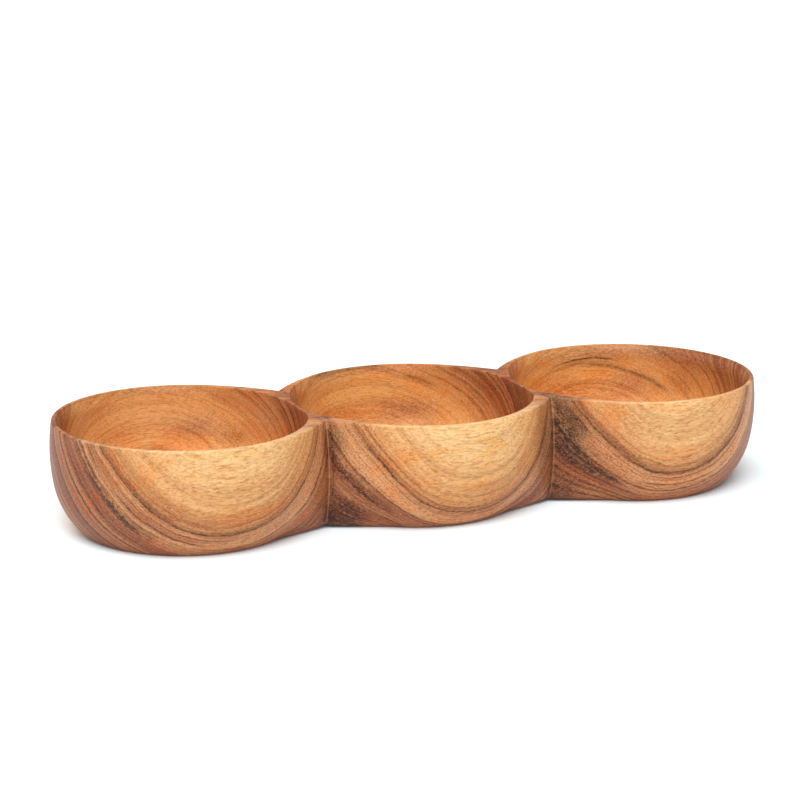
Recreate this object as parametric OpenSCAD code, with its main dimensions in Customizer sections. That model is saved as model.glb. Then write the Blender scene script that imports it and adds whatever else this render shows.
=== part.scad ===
// Divided serving bowl: three round bowls in a row, carved from one thick board of wood.
// Neighbouring bowls share a thin divider, and a groove runs down the outside at each end of it.
// The origin is on the floor under the centre of the middle bowl, and +X runs along the row.

/* [Bowls] */
// Inside radius of a bowl, just under its lip
mouth_r = 69; // [64:0.5:74]
// Wall at the widest ring of the outside
wall_t = 6.7; // [5.5:0.1:8.5]
// Divider at its thinnest, just under the lips
divider_t = 3; // [3:0.1:6]
// Height from the floor to the rim
height = 63.5; // [60:0.5:70]
// Thickness of wood under a bowl's floor
floor_t = 9; // [6:0.5:12]

/* [Outside curve] */
// Height of the widest ring
belly_z = 47; // [42:0.5:52]
// Radius of the wall's upright curve
wall_curve_r = 110; // [90:1:140]
// Radius of the tighter curve that tucks in below it
under_curve_r = 50; // [45:1:60]
// Height at which the two curves meet
under_curve_z = 28; // [24:0.5:34]
// Rounding of the foot's edge
foot_edge_r = 2; // [1:0.1:4]

/* [Inside curve] */
// Radius of the inner wall's upright curve
inner_curve_r = 110; // [90:1:160]
// Radius of the cove between the inner wall and the floor
cove_r = 34; // [20:0.5:40]

/* [Rim] */
// Height of the lip's flare inside the rim
lip_h = 5; // [3:0.1:7]
// How far the lip flares outward over that height
lip_flare = 2.2; // [1:0.1:2.4]
// Rounding of the rim's outer edge
rim_edge_r = 1.4; // [0.8:0.1:2]
// How far the middle of a divider's top dips below the rim
ridge_dip = 2; // [0.5:0.1:4]

/* [Grooves] */
// Radius of the groove down the outside at each end of a divider
groove_r = 11; // [6:0.5:14]
// How far a foot spreads towards its neighbours, which makes the tuck shallower at the grooves
foot_spread = 12; // [6:0.5:16]

/* [Hidden] */
$fn = 120;
overrun = 1;
// Steps along a wide curve and along a small rounding
curve_steps = 9;
edge_steps = 4;

// Widest outside radius, and the step from one bowl's centre to the next
outer_r = mouth_r + wall_t;
pitch = 2 * mouth_r + divider_t;

// Centres of the outside curves as [radius, height]; each touches the next without a corner.
// On the open sides the under curve tucks in below the wall's curve. In the grooves the wall's
// curve runs on down to the floor, so the foot is wider there.
wall_centre = [outer_r - wall_curve_r, belly_z];
meeting = [reach(wall_centre, wall_curve_r, under_curve_z), under_curve_z];
under_centre = meeting + (wall_centre - meeting) * under_curve_r / wall_curve_r;
rim_edge_centre = inside_centre(wall_centre, wall_curve_r, rim_edge_r, height - rim_edge_r);
open_edge_centre = inside_centre(under_centre, under_curve_r, foot_edge_r, foot_edge_r);
groove_edge_centre = inside_centre(wall_centre, wall_curve_r, foot_edge_r, foot_edge_r);

// Directions, seen from a curve's centre, in which it meets the next one
meeting_angle = bearing(wall_centre, meeting);
rim_angle = bearing(wall_centre, rim_edge_centre);
open_foot_angle = bearing(under_centre, open_edge_centre);
groove_foot_angle = bearing(wall_centre, groove_edge_centre);

// The inner wall stands upright where the lip begins
lip_z = height - lip_h;
lip_r = mouth_r + lip_flare;
lip_curve_r = (pow(lip_h, 2) + pow(lip_flare, 2)) / (2 * lip_flare);
lip_centre = [mouth_r + lip_curve_r, lip_z];
inner_centre = [mouth_r - inner_curve_r, lip_z];
cove_centre = inside_centre(inner_centre, inner_curve_r, cove_r, floor_t + cove_r);
cove_angle = bearing(inner_centre, cove_centre);

// The groove's axis stands where its radius touches both neighbouring walls
groove_y = sqrt(pow(outer_r + groove_r, 2) - pow(pitch / 2, 2));
divider_end_y = groove_y - groove_r;

// The dip is a shallow arc that runs out at the grooves and ends over the open mouths
dip_r = (pow(divider_end_y, 2) + pow(ridge_dip, 2)) / (2 * ridge_dip);
dip_half = pitch / 2 - sqrt(pow(lip_r, 2) - pow(divider_end_y, 2)) + overrun;

// Outline points of the half sections, from the axis out to the wall and up
open_foot = concat(
    [[0, 0]],
    arc(open_edge_centre, foot_edge_r, -90, open_foot_angle, edge_steps),
    arc(under_centre, under_curve_r, open_foot_angle, meeting_angle, curve_steps)
);
groove_foot = concat(
    [[0, 0]],
    arc(groove_edge_centre, foot_edge_r, -90, groove_foot_angle, edge_steps),
    arc(wall_centre, wall_curve_r, groove_foot_angle, meeting_angle, curve_steps)
);
wall_to_rim = concat(
    arc(wall_centre, wall_curve_r, meeting_angle, rim_angle, curve_steps),
    arc(rim_edge_centre, rim_edge_r, rim_angle, 90, edge_steps),
    [[rim_edge_centre[0], height], [0, height]]
);
hollow = concat(
    [[0, floor_t]],
    arc(cove_centre, cove_r, -90, cove_angle, curve_steps),
    arc(inner_centre, inner_curve_r, cove_angle, 0, curve_steps),
    arc(lip_centre, lip_curve_r, 180, bearing(lip_centre, [lip_r, height]), edge_steps),
    [[lip_r, height], [lip_r, height + overrun], [0, height + overrun]]
);

// Radius at which a circle's far side stands at one height
function reach(centre, r, z) = centre[0] + sqrt(pow(r, 2) - pow(z - centre[1], 2));

// Centre, at one height, of a small circle that touches a large one from inside
function inside_centre(centre, r, small_r, z) = [reach(centre, r - small_r, z), z];

// Direction from one centre to another, as an angle above the level
function bearing(from, to) = atan2(to[1] - from[1], to[0] - from[0]);

// Points along an arc, all but its last
function arc(centre, r, from, to, steps) = [
    for (i = [0:steps - 1])
        let (angle = from + (to - from) * i / steps)
            centre + r * [cos(angle), sin(angle)]
];

// Solid turned about an upright axis from an outline of [radius, height] points
module turned(outline) {
    rotate_extrude()
        polygon(outline);
}

// Everything between the groove's axis and the wall that it touches
module groove_cutter() {
    rotate_extrude()
        difference() {
            translate([0, -overrun])
                square([outer_r + groove_r, height + 2 * overrun]);
            translate([outer_r + groove_r, 0])
                mirror([1, 0])
                    polygon(concat(groove_foot, wall_to_rim));
        }
}

// The wedge of a bowl, from its axis to the grooves' axes, where a web replaces the turned wall
module wedge(side) {
    linear_extrude(height)
        polygon([[0, 0], [side * pitch / 2, -groove_y], [side * pitch / 2, groove_y]]);
}

// Half of the web between two bowls, up to the divider's middle plane.
// Its groove faces follow the wall's own outline, so the two blend all the way down.
module web(side) {
    difference() {
        wedge(side);
        for (end = [-1, 1])
            translate([side * pitch / 2, end * groove_y, 0])
                groove_cutter();
    }
}

// The wider foot towards one neighbour: the same bowl moved over, kept within the wall's own curve
module spread_foot(side) {
    intersection() {
        turned(concat(groove_foot, [meeting, [0, under_curve_z]]));
        translate([side * foot_spread, 0, 0])
            turned(concat(open_foot, wall_to_rim));
    }
}

// The turned wall with its spread feet, open where a web takes over
module bowl_wall(sides) {
    difference() {
        union() {
            turned(concat(open_foot, wall_to_rim));
            for (side = sides)
                spread_foot(side);
        }
        for (side = sides)
            translate([0, 0, -overrun])
                scale(2)
                    wedge(side);
    }
}

// Shallow arc along a divider's top
module ridge_arc(side) {
    translate([side * pitch / 2, 0, height - ridge_dip + dip_r])
        rotate([0, 90, 0])
            cylinder(r = dip_r, h = 2 * dip_half, center = true);
}

// One bowl with its share of each divider; sides lists the directions of its neighbours
module bowl(sides) {
    difference() {
        union() {
            bowl_wall(sides);
            for (side = sides)
                web(side);
        }
        turned(hollow);
        for (side = sides)
            ridge_arc(side);
    }
}

module left_bowl() {
    color([0.76, 0.47, 0.25])
        translate([-pitch, 0, 0])
            bowl([1]);
}

module middle_bowl() {
    color([0.80, 0.52, 0.28])
        bowl([-1, 1]);
}

module right_bowl() {
    color([0.70, 0.40, 0.22])
        translate([pitch, 0, 0])
            bowl([-1]);
}

left_bowl();
middle_bowl();
right_bowl();
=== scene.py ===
"""Divided serving bowl, three bowls carved in a row from one board, dressed for a studio picture.

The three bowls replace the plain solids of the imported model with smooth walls, sharp grooves,
softened rims and one wood figure that runs through all of them.
"""

import logging
import math
from dataclasses import dataclass, field
from enum import Enum

import bpy
import numpy as np
from mathutils import Matrix, Vector


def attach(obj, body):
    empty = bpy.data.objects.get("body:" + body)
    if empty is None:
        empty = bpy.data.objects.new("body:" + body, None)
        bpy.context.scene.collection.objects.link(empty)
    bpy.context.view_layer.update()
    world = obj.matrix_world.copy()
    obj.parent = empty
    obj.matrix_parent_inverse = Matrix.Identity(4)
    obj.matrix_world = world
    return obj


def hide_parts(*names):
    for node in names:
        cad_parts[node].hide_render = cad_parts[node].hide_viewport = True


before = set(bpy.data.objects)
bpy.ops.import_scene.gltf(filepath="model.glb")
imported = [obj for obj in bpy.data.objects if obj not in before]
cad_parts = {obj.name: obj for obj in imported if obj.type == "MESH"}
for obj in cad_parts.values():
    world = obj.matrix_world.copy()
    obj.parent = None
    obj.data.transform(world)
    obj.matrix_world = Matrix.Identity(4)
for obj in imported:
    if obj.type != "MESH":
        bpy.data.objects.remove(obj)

logging.basicConfig(level=logging.INFO, format="%(message)s")
LOG = logging.getLogger("serving bowl")

MM = 0.001

# Step from one bowl's centre to the next, and the dividers' middle plane, in millimetres
PITCH = 141.0
PLANE_X = PITCH / 2.0

# Mesh edges that bend by more than this stay sharp
SHARP_ANGLE = math.radians(40.0)

# Tone of the dark growth lines
LINE_TONE = "3C2014"

# The Mix node's sockets for colours
MIX_SHARE, MIX_A, MIX_B, MIX_RESULT = 0, 6, 7, 2

# A Span says where a smooth step starts and where it ends
Numbers = np.ndarray | float
Span = tuple[float, float]
Triple = tuple[float, float, float]
Paint = tuple[float, float, float, float]
Link = bpy.types.NodeSocket


class Neighbours(Enum):
    """Which sides of a bowl meet another bowl: its left side, its right side."""

    RIGHT = (False, True)
    BOTH = (True, True)
    LEFT = (True, False)


def mix(a: Numbers, b: Numbers, share: Numbers) -> Numbers:
    """Straight blend: a at share 0 and b at share 1."""
    return a + (b - a) * share


def smooth(value: Numbers, low: float, high: float) -> Numbers:
    """Smooth step of a value: 0 up to low, 1 from high, with a level start and end."""
    t = np.clip((value - low) / (high - low), 0.0, 1.0)
    return t * t * (3.0 - 2.0 * t)


def quarter_turn(count: int) -> np.ndarray:
    """Even steps of angle from 0 to 90 degrees."""
    return np.linspace(0.0, math.pi / 2, count)


def raised(flat: np.ndarray, height: Numbers) -> np.ndarray:
    """Gives level points (ring, column, xy) their heights: one for all, or one per ring or point."""
    up = np.broadcast_to(np.asarray(height)[..., None], flat.shape[:2] + (1,))
    return np.concatenate([flat, up], axis=2)


def direction(side: float, height: float) -> Vector:
    """A level direction to the front, turned to the right by side and raised by height."""
    level = math.cos(height)
    return Vector((math.sin(side) * level, -math.cos(side) * level, math.sin(height)))


@dataclass
class Profile:
    """Half section of a bowl, in millimetres from its axis and from the floor."""

    height: float = 63.5
    belly_r: float = 75.7
    belly_z: float = 47.0
    wall_curve_r: float = 110.0
    under_curve_r: float = 50.0
    under_curve_z: float = 28.0
    foot_round: float = 1.3
    rim_round: float = 1.1
    mouth_r: float = 69.0
    floor_z: float = 9.0
    inner_curve_r: float = 110.0
    upright_z: float = 58.5
    cove_r: float = 34.0
    lip_h: float = 8.0
    lip_flare: float = 2.8
    lip_round: float = 0.6
    # The lip's rounding takes at most this share of the rim
    lip_most: float = 0.8

    def rounding(self, z: np.ndarray) -> np.ndarray:
        """How far the foot's and the rim's rounded edges pull the wall in.

        Args:
            z: Heights.

        Returns:
            For each height, e - sqrt(e^2 - d^2), with d the depth into a rounding of radius e.
        """
        low = np.clip(self.foot_round - z, 0.0, self.foot_round)
        high = np.clip(z - (self.height - self.rim_round), 0.0, self.rim_round)
        foot = self.foot_round - np.sqrt(self.foot_round**2 - low**2)
        rim = self.rim_round - np.sqrt(self.rim_round**2 - high**2)
        return foot + rim

    def outside(self, z: np.ndarray) -> np.ndarray:
        """Radius of the open wall.

        Args:
            z: Heights.

        Returns:
            The wall's wide arc above the meeting height, the tighter arc that touches it below,
            less the rounded edges.
        """
        centre_r = self.belly_r - self.wall_curve_r
        upper = centre_r + np.sqrt(self.wall_curve_r**2 - (z - self.belly_z) ** 2)
        rise = self.belly_z - self.under_curve_z
        meet_r = centre_r + math.sqrt(self.wall_curve_r**2 - rise**2)
        share = self.under_curve_r / self.wall_curve_r
        under_r = mix(meet_r, centre_r, share)
        under_z = mix(self.under_curve_z, self.belly_z, share)
        lower = under_r + np.sqrt(self.under_curve_r**2 - (z - under_z) ** 2)
        return np.where(z >= self.under_curve_z, upper, lower) - self.rounding(z)

    def inside(self, z: np.ndarray) -> np.ndarray:
        """Radius of the hollow below its lip.

        Args:
            z: Heights above the hollow's floor.

        Returns:
            The cove's arc up to where it touches the upright arc, and that arc above it.
        """
        centre_r = self.mouth_r - self.inner_curve_r
        cove_z = self.floor_z + self.cove_r
        reach = self.inner_curve_r - self.cove_r
        cove_c = centre_r + math.sqrt(reach**2 - (cove_z - self.upright_z) ** 2)
        tilt = math.atan2(cove_z - self.upright_z, cove_c - centre_r)
        touch_z = self.upright_z + self.inner_curve_r * math.sin(tilt)
        cove = cove_c + np.sqrt(np.maximum(self.cove_r**2 - (z - cove_z) ** 2, 0.0))
        wall = centre_r + np.sqrt(self.inner_curve_r**2 - (z - self.upright_z) ** 2)
        return np.where(z < touch_z, cove, wall)


@dataclass
class Groove:
    """The V between two bowls, in millimetres. Its crease runs up the dividers' middle plane."""

    plane_x: float = PLANE_X
    belly_y: float = 41.4
    belly_z: float = 31.0
    curve_r: float = 96.0
    foot_h: float = 6.0
    foot_in: float = 8.0
    rim_round: float = 1.1
    rim_widening: float = 1.27
    flank_from: float = math.radians(58.0)
    flank_power: float = 1.9
    crease_w: float = 0.9

    def crease(self, z: np.ndarray, height: float) -> np.ndarray:
        """Distance of the crease from the bowls' centre line.

        Args:
            z: Heights.
            height: Height of the rim.

        Returns:
            A wide arc about the belly, less an elliptic rounding at the foot and one at the rim.
        """
        bow = self.belly_y - (z - self.belly_z) ** 2 / (2.0 * self.curve_r)
        low = np.clip((self.foot_h - z) / self.foot_h, 0.0, 1.0)
        high = np.clip((z - height + self.rim_round) / self.rim_round, 0.0, 1.0)
        foot = self.foot_in * (1.0 - np.sqrt(1.0 - low**2))
        rim = self.rim_widening * self.rim_round * (1.0 - np.sqrt(1.0 - high**2))
        return bow - foot - rim


@dataclass
class Divider:
    """The thin wall between two hollows, in millimetres. The hollow on its left flares less there."""

    dip: float = 2.0
    dip_end_y: float = 36.0
    dip_from_z: float = 44.0
    dip_from_r: float = 50.0
    crest_left: float = 1.6
    crest_right: float = 0.4
    calm_flare: float = 0.3
    calm_until: float = math.radians(35.0)
    calm_end: float = math.radians(90.0)

    def flare(self, p: Profile, radius: np.ndarray, way: np.ndarray, on_right: bool) -> np.ndarray:
        """How far the lip flares in each direction.

        Args:
            p: The bowl's half section.
            radius: Radius of the outer edge, or of the middle plane.
            way: Directions (column, xy) from the bowl's axis.
            on_right: Whether a divider stands on the bowl's right.

        Returns:
            The lip's flare, eased down to the calm flare towards a divider on the right, and cut back
            so that the divider's crest stays.
        """
        turned = np.abs(np.arctan2(way[:, 1], way[:, 0]))
        calm = (1.0 - smooth(turned, self.calm_until, self.calm_end)) * float(on_right)
        crest = np.where(way[:, 0] > 0.0, self.crest_left, self.crest_right)
        wanted = mix(p.lip_flare, self.calm_flare, calm)
        return np.minimum(wanted, radius - crest - p.mouth_r)


@dataclass(frozen=True)
class Fineness:
    """How finely a bowl's surface is divided, and how much its rows and columns crowd.

    Each count includes both ends of its part. The flank's slope at the crease is measured to the slope
    column. Sole and floor go from one share of a ring's radius to another, in so many rings.
    """

    foot_rows: int = 12
    wall_rows: int = 42
    rim_rows: int = 9
    open_columns: int = 64
    plane_columns: int = 26
    flank_columns: int = 44
    flank_crowding: float = 1.5
    slope_column: int = 6
    round_columns: int = 22
    sole: tuple[float, float, int] = (0.2, 0.98, 6)
    land_rings: int = 6
    lip_rings: int = 8
    throat_rings: int = 9
    inner_rings: int = 44
    inner_crowding: float = 1.1
    floor: tuple[float, float, int] = (0.8, 0.2, 4)


@dataclass
class Bowl:
    """One bowl with its half of each divider, closed on the dividers' middle planes."""

    name: str
    node: str
    centre_x: float
    neighbours: Neighbours
    profile: Profile = field(default_factory=Profile)
    groove: Groove = field(default_factory=Groove)
    divider: Divider = field(default_factory=Divider)
    fine: Fineness = field(default_factory=Fineness)

    def heights(self) -> np.ndarray:
        """Heights of the outer wall's rows.

        Returns:
            Rising heights, crowded in the foot's and the rim's roundings.
        """
        p, foot_h = self.profile, self.groove.foot_h
        foot = foot_h * (1.0 - np.cos(quarter_turn(self.fine.foot_rows)))
        wall = np.linspace(foot_h, p.height - p.rim_round, self.fine.wall_rows)[1:-1]
        rim = p.height - p.rim_round * (1.0 - np.sin(quarter_turn(self.fine.rim_rows)))
        return np.concatenate([foot, wall, rim])

    def open_quarter(self, z: np.ndarray) -> np.ndarray:
        """A quarter of the outline with no neighbour.

        Args:
            z: Heights, one row each.

        Returns:
            Points (row, column, xy) on the circle of the wall's radius, from the X axis to the Y axis.
        """
        angle = quarter_turn(self.fine.open_columns)[None, :]
        radius = self.profile.outside(z)[:, None]
        return np.stack([radius * np.cos(angle), radius * np.sin(angle)], axis=-1)

    def joined_quarter(self, z: np.ndarray) -> np.ndarray:
        """A quarter of the outline beside a neighbour.

        Args:
            z: Heights, one row each.

        Returns:
            Points (row, column, xy): along the middle plane out to the crease, along the flank, where
            the radius is the wall's plus (crease - wall) * s^power with s from 1 at the crease to 0 at
            the flank's start, and round the open wall. A parabola eases the flank level at the plane.
        """
        g, fine = self.groove, self.fine
        wall = self.profile.outside(z)[:, None]
        crease_y = g.crease(z, self.profile.height)[:, None]
        far = np.hypot(g.plane_x, crease_y)
        crease_angle = np.arctan2(crease_y, g.plane_x)
        s = 1.0 - np.linspace(0.0, 1.0, fine.flank_columns)[None, :] ** fine.flank_crowding
        angle = g.flank_from - s * (g.flank_from - crease_angle)
        radius = wall + (far - wall) * s**g.flank_power
        x, y = radius * np.cos(angle), radius * np.sin(angle)
        near = slice(fine.slope_column, fine.slope_column + 1)
        slope = (y[:, near] - y[:, :1]) / (x[:, :1] - x[:, near])
        into = np.clip(x - (g.plane_x - g.crease_w), 0.0, g.crease_w)
        y = y + slope * into**2 / (2.0 * g.crease_w)
        plane_y = np.linspace(0.0, 1.0, fine.plane_columns)[None, :-1] * y[:, :1]
        open_angle = np.linspace(g.flank_from, math.pi / 2, fine.round_columns)[None, 1:]
        plane_x = np.full_like(plane_y, g.plane_x)
        xs = np.concatenate([plane_x, x, wall * np.cos(open_angle)], axis=1)
        ys = np.concatenate([plane_y, y, wall * np.sin(open_angle)], axis=1)
        return np.stack([xs, ys], axis=-1)

    def outline(self, z: np.ndarray) -> np.ndarray:
        """The whole outline, from +X round by +Y.

        Args:
            z: Heights, one row each.

        Returns:
            Points (row, column, xy) of four mirrored quarters, each shared end kept once.
        """
        on_left, on_right = self.neighbours.value
        right = self.joined_quarter(z) if on_right else self.open_quarter(z)
        left = self.joined_quarter(z) if on_left else self.open_quarter(z)
        quarters = [
            right[:, :-1],
            (left * [-1, 1])[:, :0:-1],
            (left * [-1, -1])[:, :-1],
            (right * [1, -1])[:, :0:-1],
        ]
        return np.concatenate(quarters, axis=1)

    def rows(self) -> np.ndarray:
        """All rings of the closed surface, from the middle of the foot to the middle of the hollow.

        Returns:
            Points (row, column, xyz): sole, outer wall, rim's land, lip, throat, inner wall and floor.
            From the rim inward, each column lies on one ray from the axis.
        """
        p, fine = self.profile, self.fine
        z = self.heights()
        outer = raised(self.outline(z), z[:, None])
        sole = outer[0] * np.linspace(*fine.sole)[:, None, None]
        edge = outer[-1]
        radius = np.hypot(edge[:, 0], edge[:, 1])
        way = edge[:, :2] / radius[:, None]
        flare = self.divider.flare(p, radius, way, self.neighbours.value[1])
        turn = quarter_turn(fine.lip_rings)[:, None]
        lip_w = np.minimum(p.lip_round, p.lip_most * (radius - p.mouth_r - flare))
        lip_r = p.mouth_r + flare + lip_w * (1.0 - np.sin(turn))
        lip_z = p.height - p.lip_round + p.lip_round * np.cos(turn)
        land_r = mix(radius, lip_r[0], np.linspace(0.0, 1.0, fine.land_rings)[1:-1, None])
        fall = np.linspace(0.0, 1.0, fine.throat_rings)[1:, None]
        throat_z = mix(p.height - p.lip_round, p.height - p.lip_h, fall)
        throat_r = p.inside(throat_z) + flare * (1.0 - fall) ** 2
        tilt = np.linspace(0.0, math.pi / 2, fine.inner_rings)[1:, None]
        inner_z = mix(p.height - p.lip_h, p.floor_z, np.sin(tilt) ** fine.inner_crowding)
        inner_r = p.inside(inner_z)
        floor_r = inner_r[-1:] * np.linspace(*fine.floor)[:, None]
        rim = [(land_r, p.height), (lip_r, lip_z)]
        hollow = [(throat_r, throat_z), (inner_r, inner_z), (floor_r, p.floor_z)]
        inward = [raised(r[..., None] * way, h) for r, h in rim + hollow]
        points = np.concatenate([sole, outer, *inward], axis=0)
        return self.pressed(points)

    def pressed(self, points: np.ndarray) -> np.ndarray:
        """Presses the dividers' tops down.

        Args:
            points: Points (row, column, xyz) of the bowl.

        Returns:
            The points lowered by dip * (1 - (y / end)^2)^2, fading out downwards.
        """
        d = self.divider
        on_left, on_right = self.neighbours.value
        beside = np.where(points[..., 0] > 0, float(on_right), float(on_left))
        dip = d.dip * np.clip(1.0 - (points[..., 1] / d.dip_end_y) ** 2, 0.0, 1.0) ** 2
        drop = dip * smooth(points[..., 2], d.dip_from_z, self.profile.height) * beside
        out = points.copy()
        out[..., 2] -= drop * (np.hypot(points[..., 0], points[..., 1]) > d.dip_from_r)
        return out

    def build(self) -> bpy.types.Object:
        """Makes the bowl's mesh: quads between neighbouring rings, and a fan at each pole.

        Returns:
            The bowl's object, at the origin, with smooth faces and sharp edges on the middle planes.
        """
        grid = self.rows()
        rows, cols = grid.shape[:2]
        poles = np.array([[0.0, 0.0, 0.0], [0.0, 0.0, self.profile.floor_z]])
        points = np.concatenate([grid.reshape(-1, 3), poles]) + [self.centre_x, 0.0, 0.0]
        index = np.arange(rows * cols).reshape(rows, cols)
        after = np.roll(index, -1, axis=1)
        quads = np.stack([index[:-1], after[:-1], after[1:], index[1:]], axis=-1).reshape(-1, 4)
        low, high = rows * cols, rows * cols + 1
        fan_low = np.stack([np.full(cols, low), after[0], index[0]], axis=-1)
        fan_high = np.stack([np.full(cols, high), index[-1], after[-1]], axis=-1)
        faces = quads.tolist() + fan_low.tolist() + fan_high.tolist()
        mesh = bpy.data.meshes.new(self.name)
        mesh.from_pydata((points * MM).tolist(), [], faces)
        mesh.shade_smooth()
        mesh.set_sharp_from_angle(angle=SHARP_ANGLE)
        mesh.update()
        made = bpy.data.objects.new(self.name, mesh)
        bpy.context.scene.collection.objects.link(made)
        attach(made, "root")
        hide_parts(self.node)
        return made


@dataclass(frozen=True)
class Value:
    """A socket that numbers and other values can be added to, multiplied with and so on."""

    nodes: "Shader"
    out: Link

    def maths(self, operation: str, *others: "Value | float") -> "Value":
        """One Math node with this value as its first input."""
        return self.nodes.maths(operation, self, *others)

    def __add__(self, other: "Value | float") -> "Value":
        """self + other."""
        return self.nodes.maths("ADD", self, other)

    def __sub__(self, other: "Value | float") -> "Value":
        """self - other."""
        return self.nodes.maths("SUBTRACT", self, other)

    def __rsub__(self, other: float) -> "Value":
        """other - self."""
        return self.nodes.maths("SUBTRACT", other, self)

    def __mul__(self, other: "Value | float") -> "Value":
        """self * other."""
        return self.nodes.maths("MULTIPLY", self, other)

    def __rmul__(self, other: float) -> "Value":
        """other * self."""
        return self.nodes.maths("MULTIPLY", other, self)

    def __truediv__(self, other: "Value | float") -> "Value":
        """self / other."""
        return self.nodes.maths("DIVIDE", self, other)


class Shader:
    """A material's or the world's node tree, with one method for each kind of step."""

    def __init__(self, tree: bpy.types.NodeTree) -> None:
        """Starts on an empty tree."""
        self.tree = tree
        tree.nodes.clear()

    def node(self, kind: str, inputs: dict | None = None, **settings: object) -> bpy.types.Node:
        """Adds a node.

        Args:
            kind: Its type, without the ShaderNode at the front.
            inputs: Values or links by socket name or number.
            settings: Its properties, set first.

        Returns:
            The node.
        """
        made = self.tree.nodes.new("ShaderNode" + kind)
        for key, value in settings.items():
            setattr(made, key, value)
        for key, value in (inputs or {}).items():
            self.feed(made.inputs[key], value)
        return made

    def feed(self, socket: Link, value: object) -> None:
        """Links a value or a socket to a socket, or sets a constant on it.

        Args:
            socket: The socket that is fed.
            value: What it is fed.
        """
        if isinstance(value, Value):
            self.tree.links.new(value.out, socket)
        elif isinstance(value, Link):
            self.tree.links.new(value, socket)
        else:
            socket.default_value = value

    def maths(self, operation: str, *values: "Value | float") -> Value:
        """One Math node with its inputs in order."""
        made = self.node("Math", dict(enumerate(values)), operation=operation)
        return Value(self, made.outputs[0])

    def step(self, value: Value, low: float, high: float) -> Value:
        """Smooth step of a value, from 0 at low to 1 at high."""
        inputs = {"Value": value, "From Min": low, "From Max": high, "To Min": 0.0, "To Max": 1.0}
        return Value(self, self.node("MapRange", inputs, interpolation_type="SMOOTHSTEP").outputs[0])

    def bell(self, value: Value, centre: float, width: float) -> Value:
        """A soft hump: exp(-((value - centre) / width)^2)."""
        away = (value - centre) / width
        return self.maths("POWER", math.e, -1.0 * (away * away))

    def noise(self, vector: Link, octaves: float = 2.0, rough: float = 0.6) -> Value:
        """Noise from 0 to 1 about 0.5. Its features are about 1 long, and octaves adds finer ones."""
        inputs = {"Vector": vector, "Scale": 1.0, "Detail": octaves, "Roughness": rough}
        return Value(self, self.node("TexNoise", inputs).outputs["Fac"])

    def vector(self, x: object, y: object, z: object) -> Link:
        """Joins three values into a vector."""
        return self.node("CombineXYZ", {"X": x, "Y": y, "Z": z}).outputs[0]

    def blend(self, how: str, share: object, a: object, b: object) -> Link:
        """Mixes colour b into colour a by a share, in the way that a blend type says."""
        inputs = {MIX_SHARE: share, MIX_A: a, MIX_B: b}
        return self.node("Mix", inputs, data_type="RGBA", blend_type=how).outputs[MIX_RESULT]


def colour(code: str) -> Triple:
    """Linear red, green and blue of the six hexadecimal digits that a screen shows."""
    parts = (int(code[i : i + 2], 16) / 255.0 for i in (0, 2, 4))
    return tuple(c / 12.92 if c <= 0.04045 else ((c + 0.055) / 1.055) ** 2.4 for c in parts)


def rgba(code: str) -> Paint:
    """The same colour with full cover."""
    return (*colour(code), 1.0)


@dataclass(frozen=True)
class Wave:
    """A wave along the board, in millimetres: its length, its size, and the X of one crest."""

    length: float
    size: float
    crest: float


@dataclass(frozen=True)
class Grain:
    """A noise in the board: its features' size along X, Y and Z, its octaves and their strength."""

    size: Triple
    octaves: float = 2.0
    rough: float = 0.6


@dataclass(frozen=True)
class Layers:
    """A noise in the growth layers: one layer's thickness and its run along X, in millimetres."""

    thickness: float
    run: float
    seed: float
    octaves: float = 3.0
    rough: float = 0.65


@dataclass(frozen=True)
class Wash:
    """A colour laid over the wood as a noise goes from one level to another.

    Its share changes by two more amounts in pale and in deep wood.
    """

    how: str
    tone: str
    levels: Span
    share: float
    in_pale: float = 0.0
    in_deep: float = 0.0


@dataclass(frozen=True)
class Line:
    """A thin dark growth line: its depth, half width and strength, and where it runs along X."""

    depth: float
    width: float
    strength: float
    start: float = -230.0
    end: float = 230.0


@dataclass(frozen=True)
class Patch:
    """A soft coloured patch in the wood: its centre and reach along X, Y and Z, tone and strength."""

    centre: Triple
    reach: Triple
    tone: str
    strength: float


@dataclass(frozen=True)
class Spot:
    """A point of the board, in millimetres, read in a node tree."""

    s: Shader
    x: Value
    y: Value
    z: Value

    def noise(self, grain: Grain) -> Value:
        """A grain's noise at this point, from 0 to 1."""
        scaled = (along / size for along, size in zip((self.x, self.y, self.z), grain.size))
        return self.s.noise(self.s.vector(*scaled), grain.octaves, grain.rough)

    def outward(self) -> Value:
        """Distance past the nearer divider's middle plane, below zero towards the middle bowl."""
        return self.x.maths("ABSOLUTE") - PLANE_X


@dataclass(frozen=True)
class Place(Spot):
    """A point of the wood: also its depth, and how far it is in pale and in deep wood."""

    depth: Value
    pale: Value
    deep: Value

    def layers(self, layers: Layers) -> Value:
        """The layers' noise at this point, from 0 to 1."""
        at = self.s.vector(self.depth / layers.thickness, self.x / layers.run, layers.seed)
        return self.s.noise(at, layers.octaves, layers.rough)

    def washed(self, noise: Value, tone: Link, *washes: Wash) -> Link:
        """Lays washes over a tone.

        Args:
            noise: The noise that says where they lie.
            tone: The tone below.
            washes: The washes, lowest first.

        Returns:
            The mixed tone.
        """
        for wash in washes:
            share: Value | float = wash.share
            if wash.in_pale:
                share = self.pale * wash.in_pale + share
            if wash.in_deep:
                share = self.deep * wash.in_deep + share
            share = self.s.step(noise, *wash.levels) * share
            tone = self.s.blend(wash.how, share, tone, rgba(wash.tone))
        return tone


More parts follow.
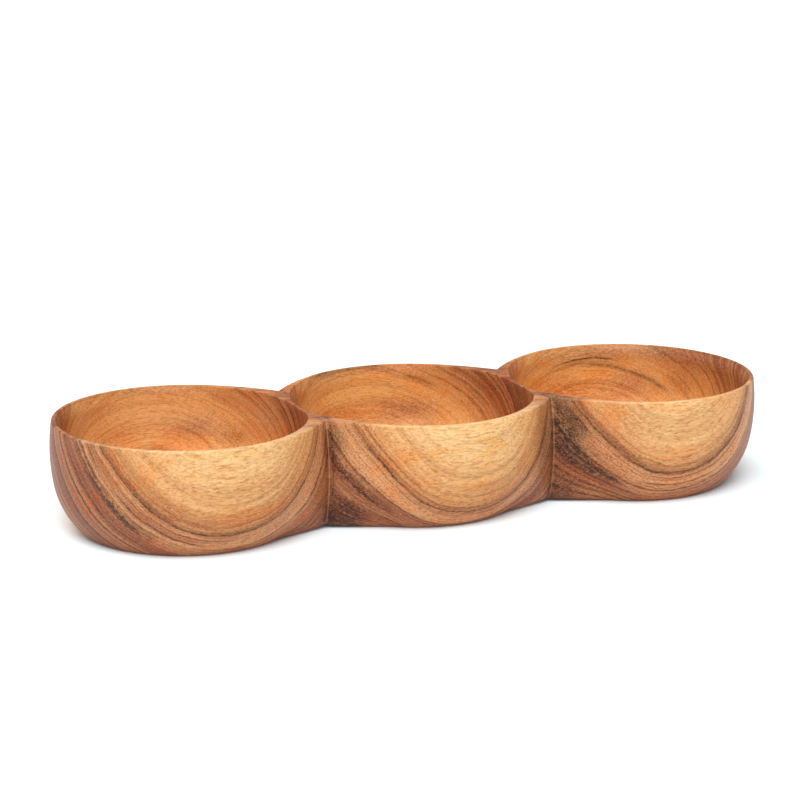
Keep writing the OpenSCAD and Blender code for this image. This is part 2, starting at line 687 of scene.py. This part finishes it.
@dataclass(frozen=True)
class Streak:
    """The mottled dark streak that follows the layers, and a wider one beside the right-hand groove.

    Lengths are in millimetres. Its depth shifts twice along the board, and it is strong on one flank of
    each bowl.
    """

    tone: str = "3C1F13"
    depth: float = -12.2
    width: float = 3.1
    shifts: tuple[tuple[Span, float], ...] = (((-140.0, -80.0), -2.0), ((-20.0, 60.0), 1.5))
    flank_x: float = -197.0
    flank: Span = (0.5, 1.0)
    elsewhere: float = 0.15
    side_x: float = 76.0
    side_reach: float = 10.0
    side_depth: float = -8.5
    side_width: float = 7.0
    clouds: Grain = Grain((9, 3, 3))
    cloud_share: float = 0.3
    bands: Layers = Layers(1, 30, 5.3, 2)
    dashes: Grain = Grain((2.4, 0.8, 0.8))
    fine_share: float = 0.35
    mottling: Span = (0.46, 0.53)
    plain: float = 0.3
    mottled: float = 0.62
    fleck_tone: str = "A4745A"
    flecks: Span = (0.42, 0.32)
    fleck_share: float = 0.35

    def mask(self, at: Place) -> Value:
        """Where the streak lies.

        Args:
            at: The place in the wood.

        Returns:
            Up to 1 at its own depth, 0 well away from it.
        """
        s = at.s
        flank = s.maths("COSINE", (at.x - self.flank_x) * (2.0 * math.pi / PITCH))
        strong = s.step(flank, *self.flank) * (1.0 - self.elsewhere) + self.elsewhere
        centre: Value | float = self.depth
        for span, shift in self.shifts:
            centre = s.step(at.x, *span) * shift + centre
        main = s.bell(at.depth - centre, 0.0, self.width) * strong
        beside = s.bell(at.x, self.side_x, self.side_reach)
        side = s.bell(at.depth, self.side_depth, self.side_width) * beside
        return (main + side).maths("MINIMUM", 1.0)

    def laid(self, at: Place, tone: Link) -> tuple[Link, Value]:
        """Lays the streak over a tone.

        Args:
            at: The place in the wood.
            tone: The tone below.

        Returns:
            The tone, and the mottling: 1 in dark dashes that lie along the layers, 0 between them.
        """
        s = at.s
        dashes = at.noise(self.dashes)
        fine = (at.layers(self.bands) + dashes) * self.fine_share
        mottle = s.step(at.noise(self.clouds) * self.cloud_share + fine, *self.mottling)
        mask = self.mask(at)
        tone = s.blend("MIX", mask * (mottle * self.mottled + self.plain), tone, rgba(self.tone))
        flecks = mask * s.step(dashes, *self.flecks) * self.fleck_share
        return s.blend("MIX", flecks, tone, rgba(self.fleck_tone)), mottle


@dataclass(frozen=True)
class GrowthLines:
    """Thin dark lines at certain depths, in millimetres.

    They come and go along the board, break into dots, and are faint on the dividers' tops.
    """

    fade_run: float = 30.0
    fade_rise: float = 40.0
    fade_seed: float = 3.7
    fading: Span = (0.30, 0.50)
    taper: float = 12.0
    plain: float = 0.65
    mottled: float = 0.45
    most: float = 0.92
    crest_outward: Span = (8.0, 4.0)
    crest_z: Span = (57.0, 60.0)
    crest_calm: float = 0.75
    lines: tuple[Line, ...] = (
        Line(0, 1.5, 0.2),
        Line(-0.3, 0.42, 0.7),
        Line(-2.6, 0.25, 0.35),
        Line(-6.2, 0.45, 0.8, -230, -150),
        Line(-6.2, 0.45, 0.7, 105, 165),
        Line(-9.6, 0.45, 0.75),
        Line(-13, 0.3, 0.45, -170, -100),
        Line(-19.8, 0.5, 0.9),
        Line(-22.2, 0.9, 0.4),
        Line(-25.6, 0.55, 0.95),
        Line(-29, 0.3, 0.6),
        Line(-34.8, 0.55, 0.95),
        Line(-36.8, 1.2, 0.35),
        Line(-41, 0.5, 0.8),
        Line(-43.6, 0.4, 0.6),
        Line(-48.5, 0.55, 0.85),
        Line(-54, 0.6, 0.9, -90, 90),
        Line(-57, 0.8, 0.5),
        Line(-62.5, 0.6, 0.55),
        Line(-66.8, 1.1, 0.4),
        Line(-72, 0.7, 0.4),
        Line(-77, 1.4, 0.55, -60, 45),
        Line(-3, 0.9, 0.8, 64, 94),
        Line(-7, 1.0, 0.85, 64, 98),
        Line(-11.8, 1.3, 0.9, 64, 112),
        Line(-15.2, 0.9, 0.8, 64, 122),
        Line(-90.8, 0.45, 0.85, 120, 170),
        Line(-95, 1.2, 0.55, 140, 200),
    )

    def darkness(self, at: Place) -> Value:
        """How dark the lines are, before they break into dots.

        Args:
            at: The place in the wood.

        Returns:
            The sum of their soft humps.
        """
        s = at.s
        dark: Value | float = 0.0
        for number, line in enumerate(self.lines):
            along = s.vector(at.x / self.fade_run, number * self.fade_seed, at.z / self.fade_rise)
            fade = s.step(s.noise(along), *self.fading)
            begun = s.step(at.x, line.start, line.start + self.taper)
            ended = s.step(at.x, line.end, line.end - self.taper)
            there = fade * (begun * ended) * line.strength
            dark = s.bell(at.depth, line.depth, line.width) * there + dark
        return dark

    def laid(self, at: Place, mottle: Value, tone: Link) -> Link:
        """Lays the lines over a tone.

        Args:
            at: The place in the wood.
            mottle: The streak's mottling, which breaks them into dots.
            tone: The tone below.

        Returns:
            The tone with its lines.
        """
        s = at.s
        beside = s.step(at.outward().maths("ABSOLUTE"), *self.crest_outward)
        crest = beside * s.step(at.z, *self.crest_z)
        dark = self.darkness(at) * (mottle * self.mottled + self.plain)
        share = dark.maths("MINIMUM", self.most) * (1.0 - crest * self.crest_calm)
        return s.blend("MIX", share, tone, rgba(LINE_TONE))


@dataclass(frozen=True)
class CreaseShade:
    """Tones of the grooves, in millimetres: painted shade that darkens towards the crease and near the
    floor, a dotted dark growth line, and a pale line that is a painted highlight on the crease.

    Each line has its distance outward from the crease, its half width, and a wash for where it shows.
    """

    # Colour and strength of the painted shade in the grooves, stronger low down
    tone: str = "8A5638"
    y: Span = (24.0, 30.0)
    reach: float = 7.0
    share: float = 0.35
    low_share: float = 0.25
    low_z: float = 30.0
    lines: tuple[tuple[float, float, Wash], ...] = (
        (-1.9, 0.5, Wash("MIX", LINE_TONE, (0.42, 0.55), 0.75)),
        # A pale line on the crease: a painted highlight
        (0, 0.36, Wash("MIX", "E0AC74", (0.36, 0.5), 0.3)),
    )

    def laid(self, at: Place, fray: Value, tone: Link) -> Link:
        """Lays the painted shade, the dotted line and the painted highlight over a tone.

        Args:
            at: The place in the wood.
            fray: Noise that breaks the lines.
            tone: The tone below.

        Returns:
            The tone, changed only in the grooves.
        """
        s = at.s
        outward = at.outward()
        outside = s.step(at.y.maths("ABSOLUTE"), *self.y)
        low = s.step(at.z, self.low_z, 0.0) * self.low_share
        # Painted shade: darker towards the crease and towards the floor
        shade = s.step(outward.maths("ABSOLUTE"), self.reach, 0.0) * outside * (low + self.share)
        tone = s.blend("MULTIPLY", shade, tone, rgba(self.tone))
        for off, width, wash in self.lines:
            broken = s.step(fray, *wash.levels) * wash.share
            share = s.bell(outward, off, width) * outside * broken
            tone = s.blend(wash.how, share, tone, rgba(wash.tone))
        return tone


@dataclass(frozen=True)
class PaintedRimHighlight:
    """A painted highlight along the open rims' top edge, strongest in the sapwood, in millimetres."""

    # Colour of the painted rim highlight
    tone: str = "DCBE92"
    share: float = 0.3
    z: Span = (62.9, 63.4)
    depth: Span = (-30.0, 5.0)
    from_divider: Span = (6.0, 22.0)

    def laid(self, at: Place, tone: Link) -> Link:
        """Lays a paler tone over the tops of the walls, away from the dividers, as a painted highlight.

        Args:
            at: The place in the wood.
            tone: The tone below.

        Returns:
            The tone, with the painted highlight on the open rims.
        """
        s = at.s
        beside = s.step(at.outward().maths("ABSOLUTE"), *self.from_divider)
        # Where the painted highlight lies: the rims' top edge, in the pale wood, away from the dividers
        highlit = s.step(at.z, *self.z) * s.step(at.depth, *self.depth) * beside
        return s.blend("MIX", highlit * self.share, tone, rgba(self.tone))


@dataclass(frozen=True)
class CarvedWood:
    """Oiled wood with the log's rings running along the board, palest at the front.

    The log's heart lies behind and below the bowl, along X. Depth is measured from the ring where the
    pale sapwood begins, and is below zero in the heartwood. All lengths are in millimetres.
    """

    heart_y: float = 112.0
    heart_z: float = -38.0
    border_r: float = 188.5
    climb: float = 0.0451
    waves: tuple[Wave, ...] = (
        Wave(400.0, 5.84, -134.5),
        Wave(PITCH, 2.53, -29.4),
        Wave(PITCH / 2.0, 0.76, 15.3),
    )
    bends: tuple[tuple[float, Grain], ...] = (
        (1.4, Grain((110, 38, 38))),
        (1.7, Grain((26, 9, 9), 3)),
        (1.1, Grain((4, 2.2, 2.2))),
    )
    pale: Span = (-1.0, 10.0)
    deep: Span = (-55.0, -72.0)
    ramp: Span = (-125.0, 30.0)
    tones: tuple[tuple[float, str], ...] = (
        (-120, "DA9050"),
        (-104, "EAA660"),
        (-90, "F0B068"),
        (-78, "EAA660"),
        (-68, "D68E4E"),
        (-58, "C07840"),
        (-48, "B46C42"),
        (-40, "B27048"),
        (-34, "C68050"),
        (-29, "B8744A"),
        (-24, "CE8856"),
        (-19, "BE7A4C"),
        (-15, "CC8258"),
        (-11, "DA9A68"),
        (-7, "ECB07A"),
        (-3, "E2A470"),
        (0.5, "CC8C56"),
        (4, "E1A266"),
        (10, "EDB476"),
        (20, "F5C88A"),
        (30, "F8D294"),
    )
    # Patches of each hollow, of the grooves and of the outside. A later patch lies over an earlier one.
    left_hollow: tuple[Patch, ...] = (
        Patch((-112, 61, 40), (20, 12, 7), "96604E", 0.6),
        Patch((-101, 54, 39), (5, 7, 5), "EAAE74", 0.5),
        Patch((-92, 47, 35), (9, 11, 6), "A85E2C", 0.6),
        Patch((-166, 62, 46), (20, 14, 8), "E09C50", 0.5),
        Patch((-125, 66, 60), (24, 6, 3), "D07030", 0.5),
        Patch((-138, 68, 47), (46, 16, 9), "FABE80", 0.5),
        Patch((-186, 53, 52), (12, 12, 8), "F4BC80", 0.5),
        Patch((-148, 68, 62.5), (40, 12, 3), "A86C44", 0.45),
        Patch((-82, 30, 54), (12, 24, 14), "DC9A68", 0.65),
    )
    middle_hollow: tuple[Patch, ...] = (
        Patch((-12, 66, 49), (22, 16, 8), "F4B868", 0.6),
        Patch((-20, 62, 36), (16, 14, 5), "CC7020", 0.65),
        Patch((24, 64, 37), (26, 14, 7), "A8603C", 0.6),
        Patch((62, 32, 50), (8, 16, 16), "96583A", 0.35),
        Patch((53, 44, 58), (10, 10, 6), "DC9660", 0.45),
        Patch((-14, 66, 62), (34, 10, 3.5), "925438", 0.55),
    )
    right_hollow: tuple[Patch, ...] = (
        Patch((130, 64, 38), (26, 14, 8), "CC6E22", 0.6),
        Patch((176, 58, 40), (16, 12, 8), "AA6440", 0.45),
        Patch((202, 32, 42), (12, 16, 8), "D08A40", 0.5),
        Patch((204, 30, 60), (24, 28, 9), "98573A", 0.7),
        Patch((160, 68, 59), (44, 12, 6), "A66440", 0.65),
        Patch((188, 50, 60.5), (18, 16, 4), "8A5034", 0.6),
        Patch((199, 37, 45), (10, 12, 8), "AC6430", 0.45),
    )
    # Some groove patches are painted shade beside the creases
    grooves: tuple[Patch, ...] = (
        Patch((59, -49, 40), (9, 12, 26), "8A5238", 0.75),
        # Darker reddish wood beside the left crease, partly painted shade
        Patch((-81, -48, 32), (6, 10, 22), "A8623C", 0.45),
        Patch((-73.5, -40, 50), (4, 8, 12), "CC6A36", 0.75),
        Patch((-68, -41, 52), (7, 9, 8), "4A2616", 0.6),
        # Painted shade low beside both creases, near the floor
        Patch((-62, -42, 8), (12, 14, 12), "66301C", 1.4),
        Patch((78, -41, 8), (9, 14, 13), "6A3420", 0.75),
        Patch((79, -48, 42), (6, 10, 16), "5C2A14", 0.6),
    )
    outside: tuple[Patch, ...] = (
        Patch((148, -74, 46), (32, 30, 14), "F8D294", 0.35),
        Patch((-44, -57, 20), (12, 10, 8), "E09060", 0.6),
        Patch((-165, -67, 16), (16, 14, 7), "E8A270", 0.6),
        Patch((-209, -34, 46), (5, 10, 8), "8A4A30", 0.3),
        Patch((212, -20, 44), (8, 26, 18), "E09C54", 0.45),
        Patch((122, -66, 13), (18, 12, 7), "DC9464", 0.4),
        Patch((97, -58, 30), (16, 14, 16), "C06C3A", 0.5),
    )
    fray: Span = (0.36, 0.64)
    fray_least: float = 0.75
    fray_more: float = 0.5
    clouds: Grain = Grain((55, 18, 18), 3)
    pink_clouds: Wash = Wash("SOFT_LIGHT", "8A6A6A", (0.5, 0.68), 0.45)
    orange_clouds: Wash = Wash("SOFT_LIGHT", "E08020", (0.5, 0.32), 0.45)
    broad_bands: Layers = Layers(4.2, 160, 0.7, 2)
    broad_dark: Wash = Wash("MULTIPLY", "A06848", (0.5, 0.64), 0.5, -0.31, -0.3)
    fine_bands: Layers = Layers(1.2, 90, 0)
    fine_dark: Wash = Wash("MULTIPLY", "A87450", (0.48, 0.64), 0.55, -0.279, -0.27)
    fine_pale: Wash = Wash("SCREEN", "F0C090", (0.46, 0.3), 0.16)
    fibres: Grain = Grain((12, 0.7, 0.7), 2, 0.7)
    fibre_dark: Wash = Wash("MULTIPLY", "A87448", (0.5, 0.7), 0.36, -0.1)
    fibre_pale: Wash = Wash("SCREEN", "F4D0A0", (0.48, 0.3), 0.14)
    silk: Grain = Grain((5, 1.7, 1.1))
    silk_dark: Wash = Wash("MULTIPLY", "CC9254", (0.5, 0.64), 0, 0.42)
    pores: Grain = Grain((3.6, 0.6, 0.6), 1)
    pore_dark: Wash = Wash("MULTIPLY", "8C5632", (0.6, 0.7), 0.6, -0.4, -0.25)
    grit: Grain = Grain((2.2, 0.9, 0.9), 3, 0.7)
    grit_dark: Wash = Wash("MULTIPLY", "A87048", (0.52, 0.66), 0.55, -0.3, -0.25)
    grit_pale: Wash = Wash("SCREEN", "F0C8A0", (0.45, 0.32), 0.16)
    end_tone: str = "B88658"
    end_share: float = 0.15
    streak: Streak = Streak()
    lines: GrowthLines = GrowthLines()
    creases: CreaseShade = CreaseShade()
    rim: PaintedRimHighlight = PaintedRimHighlight()
    band_height: float = 0.3
    pore_depth: float = 0.5
    fibre_depth: float = 0.3
    grit_depth: float = 0.25
    bump_strength: float = 0.4
    bump_distance: float = 0.0002
    roughness: float = 0.37
    fibre_roughness: float = 0.16
    pore_roughness: float = 0.12
    shine: float = 0.28

    def border(self, s: Shader, x: Value) -> Value:
        """Distance from the heart where the sapwood begins.

        Args:
            s: The tree.
            x: Place along the board.

        Returns:
            A distance that climbs along the board, in waves.
        """
        edge = x * self.climb + self.border_r
        for wave in self.waves:
            turns = (x - wave.crest) * (2.0 * math.pi / wave.length)
            edge = s.maths("COSINE", turns) * wave.size + edge
        return edge

    def place(self, s: Shader, at: Link) -> Place:
        """Reads the place in the wood.

        Args:
            s: The tree.
            at: The object's coordinates, in metres.

        Returns:
            The place. Its depth is its distance from the heart less the border's, bent by three noises.
        """
        split = s.node("SeparateXYZ", {0: at}).outputs
        x, y, z = (Value(s, split[axis]) * (1.0 / MM) for axis in "XYZ")
        spot = Spot(s, x, y, z)
        back, up = y - self.heart_y, z - self.heart_z
        depth = (back * back + up * up).maths("SQRT") - self.border(s, x)
        for size, grain in self.bends:
            depth = (spot.noise(grain) - 0.5) * size + depth
        return Place(s, x, y, z, depth, s.step(depth, *self.pale), s.step(depth, *self.deep))

    def ground(self, at: Place) -> Link:
        """Colours the wood by its depth.

        Args:
            at: The place in the wood.

        Returns:
            The tone at each depth, turned by broad clouds towards pinkish brown and towards orange.
        """
        low, high = self.ramp
        made = at.s.node("ValToRGB", {0: (at.depth - low) / (high - low)})
        stops = made.color_ramp.elements
        while len(stops) < len(self.tones):
            stops.new(1.0)
        for stop, (depth, code) in zip(stops, self.tones):
            stop.position = (depth - low) / (high - low)
            stop.color = rgba(code)
        clouds = at.noise(self.clouds)
        return at.washed(clouds, made.outputs[0], self.pink_clouds, self.orange_clouds)

    def patched(self, at: Place, fray: Value, tone: Link) -> Link:
        """Lays the soft patches over a tone; a few in the grooves are painted shade.

        Args:
            at: The place in the wood.
            fray: Noise that frays their edges.
            tone: The tone below.

        Returns:
            The tone with each patch mixed in by exp(-d^2), where d is the distance in reaches.
        """
        s = at.s
        hollows = self.left_hollow + self.middle_hollow + self.right_hollow
        frayed = s.step(fray, *self.fray) * self.fray_more + self.fray_least
        for patch in hollows + self.grooves + self.outside:
            far: Value | float = 0.0
            for along, middle, reach in zip((at.x, at.y, at.z), patch.centre, patch.reach):
                off = (along - middle) / reach
                far = off * off + far
            share = s.maths("POWER", math.e, -1.0 * far) * patch.strength * frayed
            tone = s.blend("MIX", share.maths("MINIMUM", 1.0), tone, rgba(patch.tone))
        return tone

    def figured(self, at: Place, bands: Value, fibres: Value, tone: Link) -> Link:
        """Lays the figure over a tone.

        Args:
            at: The place in the wood.
            bands: Noise of the fine layers.
            fibres: Noise of the fibres.
            tone: The tone below.

        Returns:
            The tone with broad and fine layers, fibres along the board, a silky cross figure in the
            pale wood, the mottled streak and the growth lines.
        """
        tone = at.washed(at.layers(self.broad_bands), tone, self.broad_dark)
        tone = at.washed(bands, tone, self.fine_dark, self.fine_pale)
        tone = at.washed(fibres, tone, self.fibre_dark, self.fibre_pale)
        tone = at.washed(at.noise(self.silk), tone, self.silk_dark)
        tone, mottle = self.streak.laid(at, tone)
        return self.lines.laid(at, mottle, tone)

    def ended(self, s: Shader, normal: Link, tone: Link) -> Link:
        """Darkens the cut-across fibres at the bowls' ends, which drink more oil."""
        facing = Value(s, s.node("SeparateXYZ", {0: normal}).outputs["X"])
        return s.blend("MULTIPLY", facing * facing * self.end_share, tone, rgba(self.end_tone))

    def material(self) -> bpy.types.Material:
        """Builds the wood.

        Returns:
            The material. Layers, lines, streak, pores and patches are all functions of the place in the
            board, so the figure runs on from bowl to bowl.
        """
        made = bpy.data.materials.new("carved_wood")
        made.use_nodes = True
        s = Shader(made.node_tree)
        coords = s.node("TexCoord").outputs
        at = self.place(s, coords["Object"])
        grit, bands = at.noise(self.grit), at.layers(self.fine_bands)
        fibres, pores = at.noise(self.fibres), at.noise(self.pores)
        tone = self.patched(at, grit, self.ground(at))
        tone = self.figured(at, bands, fibres, tone)
        tone = at.washed(pores, tone, self.pore_dark)
        tone = at.washed(grit, tone, self.grit_dark, self.grit_pale)
        tone = self.ended(s, coords["Normal"], tone)
        # Painted shade and a painted highlight in the grooves
        tone = self.creases.laid(at, grit, tone)
        # Painted highlight along the open rims' top edge
        tone = self.rim.laid(at, tone)
        pitted = s.step(pores, *self.pore_dark.levels)
        height = bands * self.band_height - pitted * self.pore_depth
        height = height - fibres * self.fibre_depth - grit * self.grit_depth
        bump = {"Strength": self.bump_strength, "Distance": self.bump_distance, "Height": height}
        normal = s.node("Bump", bump).outputs[0]
        gloss = fibres * self.fibre_roughness + pitted * self.pore_roughness + self.roughness
        sheen = {"Roughness": gloss, "Specular IOR Level": self.shine}
        skin = s.node("BsdfPrincipled", {"Base Color": tone, "Normal": normal, **sheen})
        out = s.node("OutputMaterial", {"Surface": skin.outputs[0]})
        out.is_active_output = True
        return made


@dataclass(frozen=True)
class SoftLight:
    """A wide soft light, like a large lamp with a cloth in front. Its angles are in degrees.

    Softness is the angle that it fills, height its angle above the floor, and side its angle from the
    front towards the right.
    """

    name: str
    strength: float
    softness: float
    height: float
    side: float
    distance: float = 2.0

    def hang(self) -> None:
        """Makes the lamp and turns it to the middle of the floor."""
        lamp = bpy.data.lights.new(self.name, "SUN")
        lamp.energy = self.strength
        lamp.angle = math.radians(self.softness)
        made = bpy.data.objects.new(self.name, lamp)
        towards = direction(math.radians(self.side), math.radians(self.height))
        made.rotation_euler = towards.to_track_quat("Z", "Y").to_euler()
        made.location = towards * self.distance
        bpy.context.scene.collection.objects.link(made)


@dataclass(frozen=True)
class Camera:
    """The photograph's camera: far off to the front left and a little above. Angles are in degrees."""

    lens: float = 127.14
    sensor: float = 36.0
    far_limit: float = 50.0
    distance: float = 1.6368
    target: Triple = (-0.00893, 0.0, 0.0604)
    azimuth: float = -24.028
    elevation: float = 14.395
    roll: float = 0.533

    def place(self) -> None:
        """Aims the camera at its target, rolls it and makes it the scene's own."""
        data = bpy.data.cameras.new("camera")
        data.lens = self.lens
        data.sensor_width = self.sensor
        data.clip_end = self.far_limit
        made = bpy.data.objects.new("camera", data)
        back = direction(math.radians(self.azimuth), math.radians(self.elevation))
        side = Vector((0.0, 0.0, 1.0)).cross(back).normalized()
        up = back.cross(side)
        roll = math.radians(self.roll)
        turned_side = side * math.cos(roll) + up * math.sin(roll)
        turned_up = up * math.cos(roll) - side * math.sin(roll)
        turn = Matrix((turned_side, turned_up, back)).transposed().to_4x4()
        made.matrix_world = Matrix.Translation(Vector(self.target) + back * self.distance) @ turn
        bpy.context.scene.collection.objects.link(made)
        bpy.context.scene.camera = made


@dataclass(frozen=True)
class Studio:
    """White floor and surround, soft lights from the front left and the back left, and the camera."""

    floor_half: float = 8.0
    floor_lit: Paint = (0.80, 0.80, 0.80, 1.0)
    floor_seen: Paint = (0.93, 1.035, 1.08, 1.0)
    floor_glow: float = 0.05
    white: Paint = (1.0, 1.0, 1.0, 1.0)
    ambient: float = 0.36
    lights: tuple[SoftLight, ...] = (
        SoftLight("key", 2.65, 38.0, 57.0, -24.0),
        SoftLight("back", 0.85, 50.0, 50.0, -137.0),
    )
    camera: Camera = Camera()

    def build(self) -> None:
        """Makes the floor, the surround, the lights and the camera."""
        self.lay_floor()
        self.surround()
        for light in self.lights:
            light.hang()
        self.camera.place()

    @staticmethod
    def seen(s: Shader, other: str) -> Value:
        """1 for rays from the camera and for one other kind of ray, 0 for the rest."""
        path = s.node("LightPath").outputs
        return Value(s, path["Is Camera Ray"]).maths("MAXIMUM", Value(s, path[other]))

    def lay_floor(self) -> None:
        """A wide flat floor that is white to the camera and keeps the bowl's shadow."""
        h = self.floor_half
        mesh = bpy.data.meshes.new("studio_floor")
        mesh.from_pydata([(-h, -h, 0.0), (h, -h, 0.0), (h, h, 0.0), (-h, h, 0.0)], [], [(0, 1, 2, 3)])
        made = bpy.data.objects.new("studio_floor", mesh)
        bpy.context.scene.collection.objects.link(made)
        material = bpy.data.materials.new("studio_floor")
        material.use_nodes = True
        s = Shader(material.node_tree)
        seen = self.seen(s, "Is Glossy Ray")
        tone = s.blend("MIX", seen, self.floor_lit, self.floor_seen)
        matt = s.node("BsdfDiffuse", {"Color": tone}).outputs[0]
        shining = {"Color": self.white, "Strength": seen * self.floor_glow}
        glow = s.node("Emission", shining).outputs[0]
        both = s.node("AddShader", {0: matt, 1: glow}).outputs[0]
        s.node("OutputMaterial", {"Surface": both})
        mesh.materials.append(material)

    def surround(self) -> None:
        """A white surround to the camera, and an even soft light to everything else."""
        world = bpy.data.worlds.new("studio")
        world.use_nodes = True
        bpy.context.scene.world = world
        s = Shader(world.node_tree)
        strength = self.seen(s, "Is Transmission Ray") * (1.0 - self.ambient) + self.ambient
        back = s.node("Background", {"Color": self.white, "Strength": strength}).outputs[0]
        s.node("OutputWorld", {"Surface": back})


def main() -> None:
    """Builds the bowls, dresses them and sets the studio."""
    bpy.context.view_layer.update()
    wood = CarvedWood().material()
    bowls = (
        Bowl("left_bowl_wood", "left_bowl", -PITCH, Neighbours.RIGHT),
        Bowl("middle_bowl_wood", "middle_bowl", 0.0, Neighbours.BOTH),
        Bowl("right_bowl_wood", "right_bowl", PITCH, Neighbours.LEFT),
    )
    for bowl in bowls:
        made = bowl.build()
        made.data.materials.append(wood)
        LOG.info("%s: %d faces", made.name, len(made.data.polygons))
    Studio().build()
    bpy.context.scene.view_settings.view_transform = "Standard"
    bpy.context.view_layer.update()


if __name__ == "__main__":
    main()
